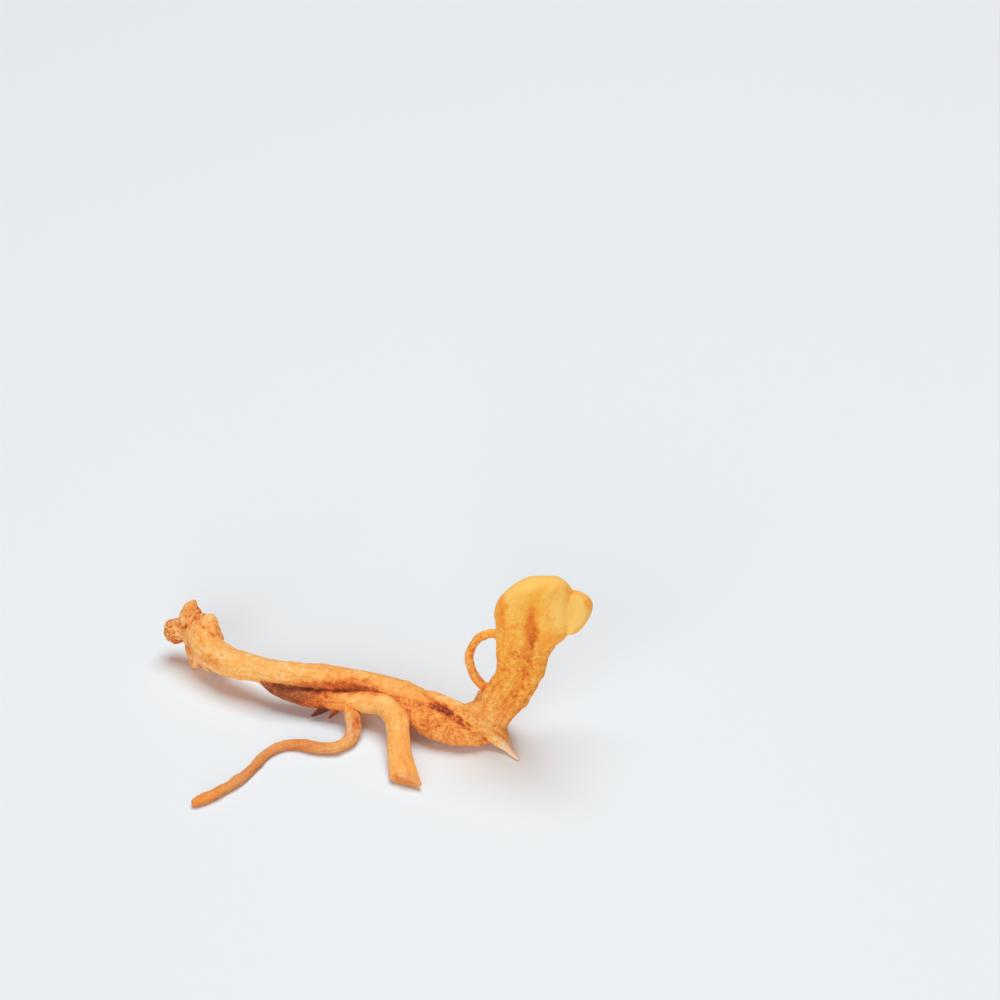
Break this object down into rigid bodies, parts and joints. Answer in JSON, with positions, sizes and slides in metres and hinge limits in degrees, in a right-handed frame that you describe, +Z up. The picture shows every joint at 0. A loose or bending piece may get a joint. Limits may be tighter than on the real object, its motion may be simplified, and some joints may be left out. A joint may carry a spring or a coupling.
{
  "type": "dried cordyceps cluster",
  "caption": "Fused cluster of dried orange cordyceps fruit bodies: a spoon-shaped club, long strands, a swollen heel and a flat cut foot, lying on its side.",
  "frame": {"origin": "bottom centre of the bounding box, on the surface the cluster rests on", "axes": "+X along the long stem from the heel to the club, +Y away from the side with the cut foot, +Z up"},
  "size_m": [0.0518, 0.03, 0.0234],
  "materials": {
    "dried_flesh": null
  },
  "bodies": {
    "root": {"long_stem": "dried_flesh", "foot_stem": "dried_flesh", "fused_base": "dried_flesh", "club": "dried_flesh", "thin_runner": "dried_flesh", "side_curl": "dried_flesh"}
  },
  "joints": []
}
